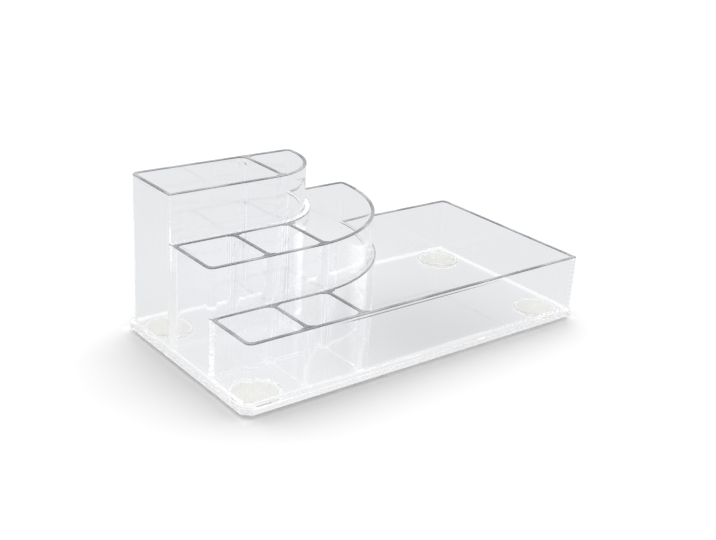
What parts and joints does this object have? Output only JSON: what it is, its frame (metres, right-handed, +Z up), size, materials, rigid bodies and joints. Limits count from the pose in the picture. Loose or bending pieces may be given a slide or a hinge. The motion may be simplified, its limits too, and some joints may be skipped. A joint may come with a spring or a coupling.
{
  "type": "makeup organizer",
  "caption": "Clear countertop makeup organizer: a low open tray with small cells, stepping up at one side to two taller tiers with curved fronts, on a plate with round foot pads.",
  "frame": {"origin": "under the middle of the base plate, on the surface that the foot pads stand on", "axes": "+X along the length, from the tiers' end to the tray's end; +Y from the front row to the back wall; +Z up"},
  "size_m": [0.2266, 0.1176, 0.088],
  "materials": {
    "clear_base": "clear, polished",
    "clear_shell": "clear, polished, with darker polished rims",
    "clear_divider": "clear, polished, with darker polished rims",
    "soft_pad": "translucent, matt, off-white"
  },
  "bodies": {
    "root": {"base_plate": "clear_base", "tray_shell": "clear_shell", "middle_tier_shell": "clear_shell", "back_tier_shell": "clear_shell", "back_tier_divider": "clear_divider", "middle_tier_divider_left": "clear_divider", "middle_tier_divider_right": "clear_divider", "front_row_divider": "clear_divider", "tray_divider": "clear_divider", "foot_pad_front_left": "soft_pad", "foot_pad_front_right": "soft_pad", "foot_pad_back_left": "soft_pad", "foot_pad_back_right": "soft_pad"}
  },
  "joints": []
}
